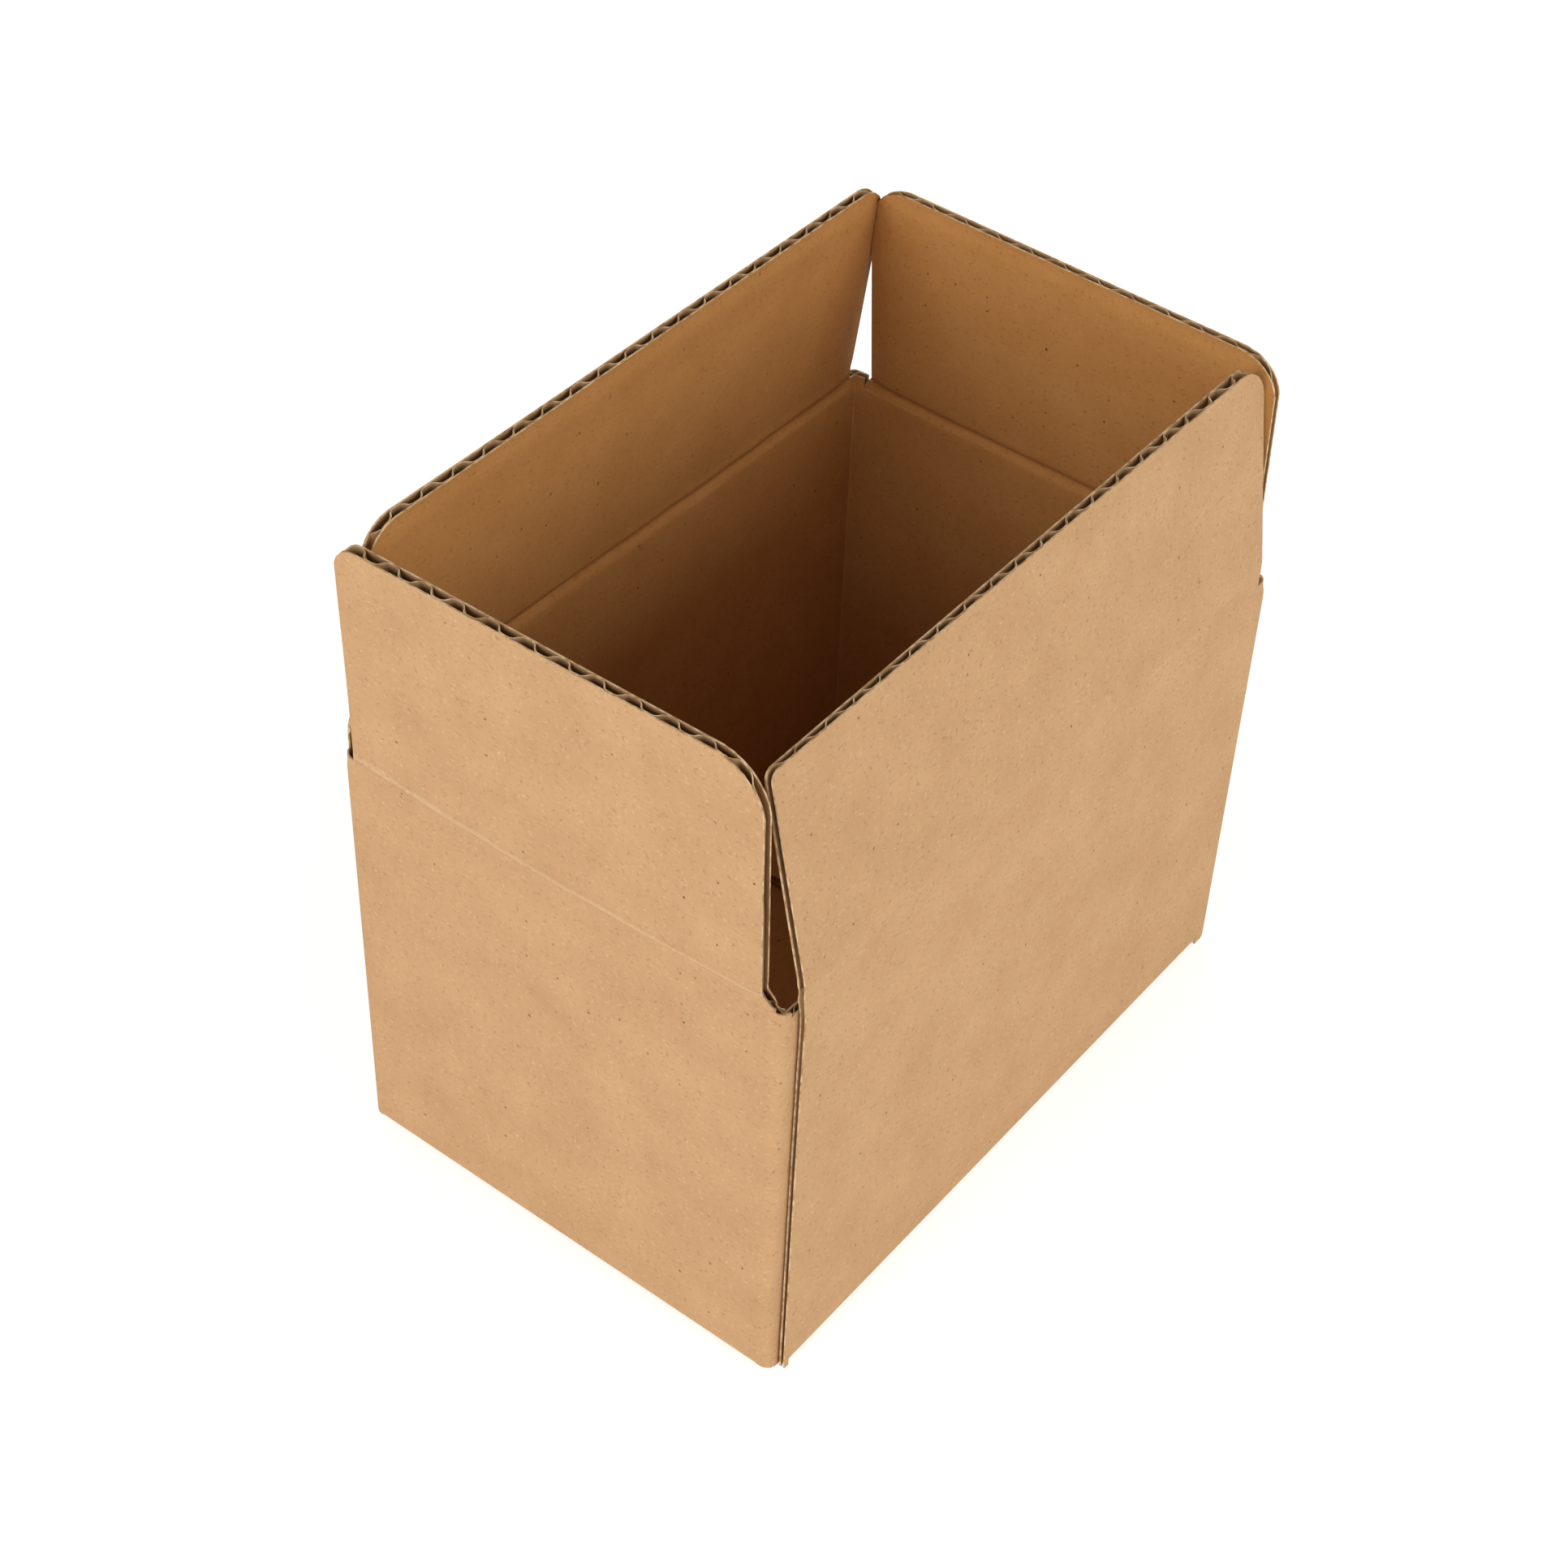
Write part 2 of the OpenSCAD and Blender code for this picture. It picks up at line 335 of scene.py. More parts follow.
def flute(u):
    # depth of the medium's middle, from the board's outer face
    stray = board["drift"] * noise.noise(Vector((u * board["driftScale"], 0.5, 0.5)))
    wave = math.cos(2 * math.pi * (u + stray) / board["pitch"])
    flank = board["flank"]
    return board["thick"] / 2 + waveHeight * wave * math.hypot(1, flank) / math.hypot(wave, flank)


def cutBoard(name, left, right, low, high, rows, columns, trims, shift, inWaste=None, edgeRows=()):
    # board cut flat, as the blank is: x along the blank, y into the board, z up the flutes;
    # shift is where x = 0 lies along the blank
    sheets = []
    for part, face in (("outer", outerLiner), ("medium", fluteMediumAndHollowShade), ("inner", innerLinerWithBounce)):
        step = board["pitch"] / board["waveSteps"] if part == "medium" else board["linerStep"]
        bpy.ops.object.select_all(action="DESELECT")
        bpy.ops.mesh.primitive_grid_add(
            x_subdivisions=max(2, round((right - left) / step)), y_subdivisions=1, size=1,
            location=((left + right) / 2, 0, (low + high) / 2), rotation=(math.pi / 2, 0, 0))
        sheet = bpy.context.object
        sheet.name = name + "_" + part
        sheet.scale = (right - left, high - low, 1)
        bpy.ops.object.transform_apply(location=True, rotation=True, scale=True)
        slicePlanes(sheet, [((0, 0, z), (0, 0, 1)) for z in rows] + list(edgeRows), False)
        slicePlanes(sheet, [((x, 0, 0), (1, 0, 0)) for x in columns], False)
        slicePlanes(sheet, trims, True)
        if inWaste:
            dropFaces(sheet, inWaste)
        for vertex in sheet.data.vertices:
            if part == "inner":
                vertex.co.y = board["thick"]
            elif part == "medium":
                vertex.co.y = flute(vertex.co.x + shift)
        if part == "inner":
            sheet.data.flip_normals()
        for material in (face, cutEdge, fluteMediumAndHollowShade):
            sheet.data.materials.append(material)
        onlySelect(sheet)
        thicken = sheet.modifiers.new("paper", "SOLIDIFY")
        thicken.thickness = board["medium"] if part == "medium" else board["liner"]
        thicken.offset = 0 if part == "medium" else -1
        # the liners' sides inside the flutes take the medium's darker colour: painted shade of the
        # hollows
        thicken.material_offset = 2
        thicken.material_offset_rim = 1
        bpy.ops.object.modifier_apply(modifier=thicken.name)
        sheets.append(sheet)
    onlySelect(*sheets)
    bpy.ops.object.join()
    piece = bpy.context.object
    piece.name = name
    # the blank's own flat sizes, so that fibres and flutes follow the board round its folds
    layer = piece.data.uv_layers.new(name="blank")
    for loop in piece.data.loops:
        point = piece.data.vertices[loop.vertex_index].co
        layer.data[loop.index].uv = (point.x + shift, point.z)
    return piece


noCrease = 50 * mm  # so far from a score that no line shows


def foldUp(piece, place, creaseGap=None):
    # every point of the flat board goes to its place, and an outer point keeps its distance
    # from the score for the material
    gaps = []
    for vertex in piece.data.vertices:
        outside = vertex.co.y < board["thick"] / 2
        gaps.append(creaseGap(*vertex.co) if creaseGap and outside else noCrease)
    piece.data.attributes.new("creaseGap", "FLOAT", "POINT").data.foreach_set("value", gaps)
    for vertex in piece.data.vertices:
        vertex.co = place(*vertex.co)
    piece.data.update()
    onlySelect(piece)
    bpy.ops.object.shade_smooth_by_angle(angle=math.radians(board["smoothAngle"]))


def turned(point, turn):
    # from the front wall's frame to the wall that is turned by so many degrees
    c, s = math.cos(math.radians(turn)), math.sin(math.radians(turn))
    return Vector((point[0] * c - point[1] * s, point[0] * s + point[1] * c, point[2]))


# the blank, from the raw edge at the front left corner round to the glue tab
blank = {
    "rawEdge": 3.9 * mm,  # set-back of the raw edge from the left wall's face, at the foot
    "rawSlant": 1.2 * mm,  # how much further back it is at the score
    "rawKink": 0.8 * mm,  # and how far it comes forward again just under the flap
    "kinkFrom": 100 * mm,  # height where that begins
    "kinkRise": 8.4 * mm,
    "kinkRun": 6 * mm,  # how far in from the raw edge it reaches
    "rawShare": 0.37,  # thickness left at the raw edge
    "rawOpens": 98 * mm,  # height from which it thickens to the flap's edge
    "rawOpenRise": 10 * mm,
    "crushed": 1.8 * mm,  # each layer of the glued lap
    "foldRadius": 2.7 * mm,  # outside of a corner fold
    "foldInside": 0.35 * mm,  # least radius on its inside
    "foldEase": 9 * mm,  # run beside a fold over which the inside makes room for the mitre
    "foldColumns": 6,
    "tabFold": 3.1 * mm,  # outside of the tab's fold
    "tab": 30 * mm,  # length of the glue tab
    "tabTop": 103 * mm,
    "tabDrop": 1.2 * mm,  # how much lower the slot is cut on the tab's side
    "dropFrom": 85 * mm,  # height from which the tab is drawn down for that
    "dropRise": 18 * mm,
    "tongue": 2.2 * mm,  # part of the tab that runs down to the foot and closes the corner
    "lapEnd": 31 * mm,  # the front wall lies crushed on the tab up to here
    "lapTop": 102.5 * mm,
    "lapRunOut": (5 * mm, 4.5 * mm),  # along and up, over which it swells again
    "slotFloor": (103.9 * mm, 106.6 * mm, 104.3 * mm, 104.2 * mm),  # right, back, left, near corner
    "floorTop": 8.0 * mm,  # the tab stands on the bottom flaps
    "bottomSeam": 6.5 * mm,  # height where the long bottom flaps begin
    "footRound": 3.4 * mm,  # rounding of the short walls' feet
    "footRows": (0.3 * mm, 0.8 * mm, 1.6 * mm, 2.5 * mm, 3.4 * mm),
    "wallRows": (20 * mm, 40 * mm, 60 * mm, 80 * mm, 90 * mm, 96 * mm, 98.5 * mm),
    "scoreRows": (100.5 * mm, 0.65 * mm, 12),  # first, step and number
    "slotColumns": (-2, -0.9, 0.9, 2),  # mm from the sides of a slot
    "rawColumns": (2.4 * mm, 4 * mm),
}


def makeRun():
    # outer face of the walls in plan: straight runs and corner folds, with the inside to the left
    radius, tabRadius = blank["foldRadius"], blank["tabFold"]
    straights = [
        2 * halfLong - blank["rawEdge"] - radius,
        2 * halfWide - 2 * radius,
        2 * halfLong - 2 * radius,
        2 * halfWide - radius - tabRadius - blank["crushed"],
        blank["tab"],
    ]
    radii = [0, radius, radius, radius, tabRadius, 0]
    run, start, heading = [], 0.0, 0
    point = Vector((-halfLong + blank["rawEdge"], -halfWide, 0))
    for index, length in enumerate(straights):
        ahead = turned((1, 0, 0), heading)
        inward = turned((0, 1, 0), heading)
        before, after = radii[index], radii[index + 1]
        run.append({"start": start, "end": start + length, "point": point, "ahead": ahead,
                    "inward": inward, "radius": 0, "before": before, "after": after})
        point = point + ahead * length
        start += length
        if after:
            arc = after * math.pi / 2
            run.append({"start": start, "end": start + arc, "corner": point + ahead * after,
                        "ahead": ahead, "inward": inward, "heading": heading, "radius": after})
            heading += 90
            point = point + (ahead + inward) * after
            start += arc
    return run


run = makeRun()
blankLength = run[-1]["end"]
wallRuns = {"front": run[0], "right": run[2], "rear": run[4], "left": run[6]}
tabFold, tabRun = run[7], run[8]


def alongRun(u, depth):
    # place in plan, so far along the blank and so deep in the board; the inside of a fold is mitred
    for part in run:
        if u <= part["end"] or part is run[-1]:
            break
    tight = blank["foldInside"]
    if part["radius"] == 0:
        along = u - part["start"]
        toEnd = part["end"] - u
        for radius, gap, sign in ((part["before"], along, 1), (part["after"], toEnd, -1)):
            if radius:
                along += sign * max(0, depth + tight - radius) * max(0, 1 - gap / blank["foldEase"])
        return part["point"] + part["ahead"] * along + part["inward"] * depth
    small = max(part["radius"] - depth, tight)
    centre = part["corner"] + (part["inward"] - part["ahead"]) * (depth + small)
    turn = part["heading"] + 90 * (u - part["start"]) / (part["end"] - part["start"])
    return centre - turned((0, 1, 0), turn) * small


# where a wall's middle lies along the blank
wallMiddle = {
    "front": halfLong - blank["rawEdge"],
    "right": (wallRuns["right"]["start"] + wallRuns["right"]["end"]) / 2,
    "rear": (wallRuns["rear"]["start"] + wallRuns["rear"]["end"]) / 2,
    "left": wallRuns["left"]["start"] + halfWide - blank["foldRadius"],
}

# top flaps, seen from outside; pairs are left and right end
# turn: degrees from the front wall; half: the wall's distance from the middle; wall: half its length
# slope: degrees that the top edge rises to the right; taper: degrees that a side leans in
# spread: how much wider the foot is beside a slot, up to what height and by what curve
# lean: degrees inward; twist: how much more at the right end; bow: how much more at the top
# edge: thickness left at the cut edge; press: where in the thickness it closes
# crease: the score's height over the fold axis at the left end, the middle and the right end
# line: how clearly it shows outside; ridge: how far it stands out there; groove: its depth inside
noSpread = (0, mm, 2)
topFlaps = {
    "front": {
        "turn": 0, "half": halfWide, "wall": halfLong, "score": longScore, "seed": 1.0,
        "length": 49.1 * mm, "slope": 0.25, "inset": (4.3 * mm, 4.6 * mm), "taper": (-2.2, 1.6),
        "round": (2.2 * mm, 8 * mm), "spread": (noSpread, noSpread),
        "lean": 8.2, "twist": -1.0, "bow": 0.4, "edge": (0.5, 0.8), "press": (0.0, 0.5),
        "crease": (-1.0 * mm, -1.0 * mm, -1.0 * mm), "line": (0.12, 0.12),
        "ridge": 0.0, "groove": 0.7 * mm,
    },
    "right": {
        "turn": 90, "half": halfLong, "wall": halfWide, "score": shortScore, "seed": 2.0,
        "length": 53.8 * mm, "slope": 1.5, "inset": (3.7 * mm, 7.4 * mm), "taper": (0.2, 0.2),
        "round": (9 * mm, 9 * mm), "spread": (noSpread, (2.2 * mm, 2.4 * mm, 0.3)),
        "lean": 3.5, "twist": 1.2, "bow": 0.3, "edge": (0.56, 0.56), "press": (0.5, 0.5),
        "crease": (1.8 * mm, 1.8 * mm, 1.8 * mm), "line": (0.7, 0.7),
        "ridge": 0.0, "groove": 0.9 * mm,
    },
    "rear": {
        "turn": 180, "half": halfWide, "wall": halfLong, "score": longScore, "seed": 3.0,
        "length": 51.0 * mm, "slope": 0.0, "inset": (4.2 * mm, 4.0 * mm), "taper": (0.0, 0.0),
        "round": (8 * mm, 7 * mm), "spread": (noSpread, (2.2 * mm, 16 * mm, 2)),
        "lean": 6.9, "twist": -0.25, "bow": 0.3, "edge": (0.6, 0.66), "press": (0.5, 0.5),
        "crease": (-2.4 * mm, -1.0 * mm, 2.2 * mm), "line": (0.7, 0.7),
        "ridge": 0.0, "groove": 0.9 * mm,
    },
    "left": {
        "turn": 270, "half": halfLong, "wall": halfWide, "score": shortScore, "seed": 4.0,
        "length": 53.5 * mm, "slope": 1.2, "inset": (3.6 * mm, 6.4 * mm), "taper": (0.2, 0.4),
        "round": (5.5 * mm, 11 * mm), "spread": (noSpread, (3.2 * mm, 3.5 * mm, 2)),
        "lean": -1.0, "twist": 0.0, "bow": 0.0, "edge": (0.78, 0.62), "press": (0.0, 0.0),
        "crease": (1.4 * mm, 0.1 * mm, 3.2 * mm), "line": (1.0, 0.3),
        "ridge": 0.3 * mm, "groove": 0.8 * mm,
    },
}
# rows and columns of points on a top flap
flapGrid = {
    "bendRows": 8,
    "aboveBend": (4.6 * mm, 5.3 * mm, 6.2 * mm),
    "panelRows": (9 * mm, 4.5 * mm, 9),  # first, step and number
    "underTop": (4.4, 3.2, 2.2, 1.3, 0.5),  # mm below the top edge
    "sides": (0.9 * mm, 2 * mm),
    "margin": 2 * mm,  # cut away again by the trims
    "footRun": 6 * mm,  # how far in from its side a spread foot is drawn out
}
# a score's section
scoreShape = {
    "grooveWidth": 1.3 * mm,
    "ridgeWidth": 0.9 * mm,
    "wobble": 0.3 * mm,
    "wobbleScale": 110,  # wobbles in a metre
    "fadeRun": 4 * mm,  # run beside a corner fold over which it dies out
}
# slow waviness of the panels
waviness = {
    "depth": 0.2 * mm,
    "across": 22,  # waves in a metre
    "up": 26,
    "seedStep": 7.3,
    "flapRun": 20 * mm,  # run over which it dies out at a score
    "wallRun": 30 * mm,
}
cornerSteps = 8  # cuts that make a flap's round corner


def footOf(side, end):
    # a flap's left or right foot along the blank
    flap = topFlaps[side]
    reach = flap["wall"] - flap["inset"][end]
    return wallMiddle[side] + (reach if end else -reach)


flapFeet = [(footOf(side, end), side, end) for side in topFlaps for end in (0, 1)]


def widened(flap, end, v):
    # how much wider a flap is beside the round end of a slot
    reach, height, curve = flap["spread"][end]
    return reach * max(0, 1 - v / height) ** curve


def alongFlaps(u, key):
    # a value given for both ends of each flap, read anywhere along the blank
    for (a, side, end), (b, nextSide, nextEnd) in zip(flapFeet, flapFeet[1:]):
        if u < b:
            break
    low, high = topFlaps[side][key][end], topFlaps[nextSide][key][nextEnd]
    return low + (high - low) * min(max((u - a) / (b - a), 0), 1)


def flapShape(left, right, taper, top, radii, slope=0.0):
    # a flat flap, trimmed by planes: two tapered sides, a top edge, and round corners as tangent cuts
    rise = math.radians(slope)
    shape = {"left": left, "right": right, "taper": taper, "top": top, "rise": rise, "corners": [],
             "trims": [((0, 0, top), (-math.sin(rise), 0, math.cos(rise)))]}
    for side, foot, angle, radius in ((-1, left, taper[0], radii[0]), (1, right, taper[1], radii[1])):
        tilt = math.radians(angle)
        sideX, sideZ = side * math.cos(tilt), math.sin(tilt)
        topX, topZ = -math.sin(rise), math.cos(rise)
        # the centre lies a radius inside both lines
        sideGap, topGap = sideX * foot - radius, topZ * top - radius
        cross = sideX * topZ - sideZ * topX
        centreX = (sideGap * topZ - sideZ * topGap) / cross
        centreZ = (sideX * topGap - topX * sideGap) / cross
        shape["corners"].append((side, centreX, centreZ, radius))
        shape["trims"].append(((foot, 0, 0), (sideX, 0, sideZ)))
        for step in range(1, cornerSteps):
            lift = tilt + (math.pi / 2 + side * rise - tilt) * step / cornerSteps
            normal = (side * math.cos(lift), 0, math.sin(lift))
            touch = (centreX + normal[0] * radius, 0, centreZ + normal[2] * radius)
            shape["trims"].append((touch, normal))
    return shape


def edgeGap(u, v, shape, wider=(0, 0)):
    # distance from a flap's cut edge
    tilt = [math.radians(angle) for angle in shape["taper"]]
    gap = min((u - shape["left"] + wider[0]) * math.cos(tilt[0]) - v * math.sin(tilt[0]),
              (shape["right"] + wider[1] - u) * math.cos(tilt[1]) - v * math.sin(tilt[1]),
              (shape["top"] - v) * math.cos(shape["rise"]) + u * math.sin(shape["rise"]))
    for side, x, z, radius in shape["corners"]:
        out, up = (u - x) * side, v - z
        if out > 0 and up > 0:
            gap = radius - math.hypot(out, up)
    return gap


def crush(depth, share, press):
    # only the hollow closes: the liners keep their thickness; press is 0 at the outer face and
    # 1 at the inner one
    thick, liner = board["thick"], board["liner"]
    outerFace = press * thick * (1 - share)
    innerFace = outerFace + thick * share
    if depth <= liner:
        return outerFace + depth
    if depth >= thick - liner:
        return innerFace - (thick - depth)
    inHollow = (depth - liner) / (thick - 2 * liner)
    return outerFace + liner + inHollow * (innerFace - outerFace - 2 * liner)


def edgeShare(gap, least):
    # a die-cut edge is squeezed thin
    return least + (1 - least) * ease(gap / board["edgeReach"])


def squeezed(depth, gap, least, press):
    return crush(depth, edgeShare(gap, least), press)


def creaseAt(flap, across):
    # the score's height over the fold axis, with a little wobble
    low, middle, high = flap["crease"]
    t = across / flap["wall"]
    wobble = scoreShape["wobble"] * noise.noise(
        Vector((across * scoreShape["wobbleScale"], flap["seed"], 0.5)))
    return middle + (high - low) / 2 * t + ((low + high) / 2 - middle) * t * t + wobble


def lineAt(flap, across):
    # how clearly the score shows outside
    left, right = flap["line"]
    return left + (right - left) * min(max(0.5 + 0.5 * across / flap["wall"], 0), 1)


def cornerFade(side, u):
    # scores and waviness die out at the corner folds, but not at the raw edge
    part, reach = wallRuns[side], scoreShape["fadeRun"]
    fade = ease((part["end"] - u) / reach)
    return fade if side == "front" else fade * ease((u - part["start"]) / reach)


def scored(depth, height, flap, fade):
    # a score is pressed in from the inside and leaves a low ridge outside
    share = depth / board["thick"]
    pressed = flap["groove"] * bell(height, scoreShape["grooveWidth"]) * share
    raised = flap["ridge"] * bell(height, scoreShape["ridgeWidth"]) * (1 - share)
    return depth - fade * (pressed + raised)


def wander(u, v, seed):
    # how far a panel waves inward
    spot = Vector((u * waviness["across"], v * waviness["up"], seed * waviness["seedStep"]))
    return waviness["depth"] * (0.5 + 0.5 * noise.noise(spot))


def makeTopFlap(side, flap):
    left = -flap["wall"] + flap["inset"][0]
    right = flap["wall"] - flap["inset"][1]
    top = flap["length"]
    shape = flapShape(left, right, flap["taper"], top, flap["round"], flap["slope"])
    margin, bendRows = flapGrid["margin"], flapGrid["bendRows"]
    first, step, count = flapGrid["panelRows"]
    rows = [board["bend"] * k / bendRows for k in range(1, bendRows + 1)]
    rows += list(flapGrid["aboveBend"]) + [first + step * k for k in range(count)]
    tilted = (-math.sin(shape["rise"]), 0, math.cos(shape["rise"]))
    edgeRows = [((0, 0, top - gap * mm), tilted) for gap in flapGrid["underTop"]]
    columns = [left + gap for gap in flapGrid["sides"]] + [right - gap for gap in flapGrid["sides"]]
    piece = cutBoard("top_flap_" + side, left - margin, right + margin, 0, top + margin, rows, columns,
                     shape["trims"], wallMiddle[side], edgeRows=edgeRows)
    middle = (left + right) / 2

    def stand(u, d, v):
        wider = widened(flap, 0, v), widened(flap, 1, v)
        u -= wider[0] * max(0, 1 - (u - left) / flapGrid["footRun"])
        u += wider[1] * max(0, 1 - (right - u) / flapGrid["footRun"])
        along = u + wallMiddle[side]
        fade = cornerFade(side, along)
        depth = squeezed(d, edgeGap(u, v, shape, wider),
                         alongFlaps(along, "edge"), alongFlaps(along, "press"))
        depth = scored(depth, v - creaseAt(flap, u), flap, fade)
        depth += wander(u, v, flap["seed"]) * ease(v / waviness["flapRun"])
        lean = flap["lean"] + flap["twist"] * (u - middle) / flap["wall"]
        bend = min(v, board["bend"]) / board["bend"]
        angle = math.radians(lean * ease(bend) + flap["bow"] * v / top)
        # the outer face turns over the bending zone and then runs straight with a slight bow
        inZone = board["bend"] * (bend ** 3 - bend ** 4 / 2)
        beyond = max(v - board["bend"], 0)
        inward = math.radians(lean) * inZone + math.sin(math.radians(lean)) * beyond
        inward += math.radians(flap["bow"]) * v * v / (2 * top)
        up = v - (1 - math.cos(math.radians(lean))) * beyond
        spot = (u, -flap["half"] + inward + depth * math.cos(angle),
                flap["score"] + up - depth * math.sin(angle))
        # at its foot the flap follows the corner folds, as the wall under it does
        foot = alongRun(along, depth)
        standing = turned(spot, flap["turn"])
        return Vector((foot.x, foot.y, standing.z)).lerp(standing, ease(bend))

    foldUp(piece, stand, lambda u, d, v: (v - creaseAt(flap, u)) / lineAt(flap, u))
    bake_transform(piece)
    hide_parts(side + "_flap")
    print("flap:", piece.name, len(piece.data.polygons), "faces")


for side, flap in topFlaps.items():
    makeTopFlap(side, flap)


bottomInset = 5.2 * mm  # of a long bottom flap's ends from the short walls' faces
bottomSpans = [
    (wallMiddle[side] - halfLong + bottomInset, wallMiddle[side] + halfLong - bottomInset)
    for side in ("front", "rear")
]
# slots between the feet of the top flaps, along the blank: right, back, left and near corner
slotEnds = [
    (footOf(before, 1) + topFlaps[before]["spread"][1][0],
     footOf(after, 0) - topFlaps[after]["spread"][0][0])
    for before, after in (("front", "right"), ("right", "rear"), ("rear", "left"))
] + [(footOf("left", 1) + topFlaps["left"]["spread"][1][0], blankLength)]
slots = [(low, high, floor) for (low, high), floor in zip(slotEnds, blank["slotFloor"])]
shortSpans = [(slotEnds[0][1], slotEnds[1][0]), (slotEnds[2][1], slotEnds[3][0])]


def wallWaste(u, v):
    # what the die cuts away: slots, short flaps above their score, long bottom flaps, and the
    # tab's two ends
    for low, high, floor in slots:
        if low < u < high and v > floor:
            return True
    for low, high in shortSpans:
        if low < u < high and v > shortScore:
            return True
    for low, high in bottomSpans:
        if low < u < high and v < blank["bottomSeam"]:
            return True
    low = blank["floorTop"] if u > tabRun["start"] + blank["tongue"] else 0
    return u > tabRun["start"] and (v < low or v > blank["tabTop"])


def lapShare(u, v):
    # both layers of the glued lap are crushed, the front wall flush with its outer face
    crushed = blank["crushed"] / board["thick"]
    if u > tabFold["start"]:
        return 1 + (crushed - 1) * ease((u - tabFold["start"]) / (tabFold["end"] - tabFold["start"]))
    along, up = blank["lapRunOut"]
    free = max(ease((u - blank["lapEnd"]) / along), ease((v - blank["lapTop"]) / up))
    return crushed + (1 - crushed) * free


# fold, short wall and fold, twice: place in the run, share of the foot's rounding at start and end
footRuns = ((1, 0, 1), (2, 1, 1), (3, 1, 0), (5, 0, 1), (6, 1, 1), (7, 1, 0))


def footRoundAt(u):
    # the short walls turn under into the inner bottom flaps; at the corner folds the rounding dies out
    for index, atStart, atEnd in footRuns:
        part = run[index]
        if part["start"] <= u <= part["end"]:
            t = (u - part["start"]) / (part["end"] - part["start"])
            return blank["footRound"] * (atStart + (atEnd - atStart) * t)
    return 0.0


def makeWalls():
    slotSides = [u for pair in slotEnds[:3] for u in pair]
    columns = slotSides + [u for pair in bottomSpans for u in pair]
    columns += [slotEnds[3][0], tabRun["start"], tabRun["start"] + blank["tongue"]]
    columns += [u + step * mm for u in slotSides for step in blank["slotColumns"]]
    columns += blank["rawColumns"]
    steps = blank["foldColumns"]
    for part in run:
        if part["radius"]:
            arc = part["end"] - part["start"]
            columns += [part["start"] + arc * k / steps for k in range(steps + 1)]
    rows = list(blank["footRows"]) + [blank["bottomSeam"], blank["floorTop"], blank["tabTop"]]
    rows += list(blank["slotFloor"]) + [shortScore]
    first, step, count = blank["scoreRows"]
    rows += [first + step * k for k in range(count)] + list(blank["wallRows"])
    slant = math.atan(blank["rawSlant"] / longScore)
    rawCut = ((0, 0, 0), (-math.cos(slant), 0, math.sin(slant)))
    piece = cutBoard("carton_walls", 0, blankLength, 0, longScore, rows, columns, [rawCut], 0, wallWaste)

    def wallAt(u):
        for side, part in wallRuns.items():
            if part["start"] <= u <= part["end"]:
                return side
        return None

    def fold(u, d, v):
        rawGap = u - v * math.tan(slant)
        least = alongFlaps(u, "edge")
        opened = ease((v - blank["rawOpens"]) / blank["rawOpenRise"])
        raw = blank["rawShare"] + (least - blank["rawShare"]) * opened
        raw += (1 - raw) * ease(rawGap / board["edgeReach"])
        # the layer is crushed once, by what squeezes it most: the lap, the raw edge or a slot
        share, press = min(lapShare(u, v), raw if u < blank["lapEnd"] else 1), 0
        for low, high, floor in slots:
            gap = math.hypot(max(low - u, u - high, 0), max(floor - v, 0))
            cut = edgeShare(gap, least)
            if cut < share:
                share, press = cut, alongFlaps(u, "press")
        depth = crush(d, share, press)
        side = wallAt(u)
        if side:
            flap = topFlaps[side]
            across = u - wallMiddle[side]
            fade = cornerFade(side, u)
            depth = scored(depth, v - flap["score"] - creaseAt(flap, across), flap, fade)
            rise = ease(v / waviness["wallRun"]) * ease((flap["score"] - v) / waviness["wallRun"])
            depth += wander(across, v, flap["seed"]) * rise * fade
        radius = footRoundAt(u)
        if v < radius:
            arc = radius - math.sqrt(radius ** 2 - (radius - v) ** 2)
            depth = arc + depth * (board["thick"] - arc) / board["thick"]
        kinked = ease((v - blank["kinkFrom"]) / blank["kinkRise"])
        kink = blank["rawKink"] * kinked * max(0, 1 - rawGap / blank["kinkRun"])
        spot = alongRun(u - kink, depth)
        inTab = ease((u - tabFold["start"]) / (tabFold["end"] - tabFold["start"]))
        drop = blank["tabDrop"] * inTab * ease((v - blank["dropFrom"]) / blank["dropRise"])
        return Vector((spot.x, spot.y, v - drop))

    def creaseGap(u, d, v):
        side = wallAt(u)
        if side is None:
            return noCrease
        flap = topFlaps[side]
        across = u - wallMiddle[side]
        return (v - flap["score"] - creaseAt(flap, across)) / lineAt(flap, across)

    foldUp(piece, fold, creaseGap)
    return piece


walls = makeWalls()
print("walls:", len(walls.data.polygons), "faces")


# a short bottom flap, lying on the long ones; start is where it leaves the wall's rounded foot
shortFlap = {
    "length": 54.7 * mm, "inset": 6.97 * mm, "taper": (3.5, 3.5), "corner": 8 * mm,
    "floor": 4.2 * mm, "start": 3.0 * mm, "rows": (20 * mm, 36 * mm),
}
# a long bottom flap, shut; round is the outside of its fold and foldInside the least radius inside
bottomFlap = {
    "length": 50.8 * mm, "taper": (1.8, 1.8), "corner": 8 * mm, "floor": 0.3 * mm,
    "round": 2.0 * mm, "foldInside": 0.05 * mm,
    "wallRows": 4, "arcRows": 6, "flatRows": 5, "flatStep": 1.2 * mm,
}
# cut edges of both: thickness left, where in it they close, and rows in mm from the free edge
bottomEdge = {"share": 0.6, "press": 0.5, "rows": (4.4, 3, 1.8, 0.8)}


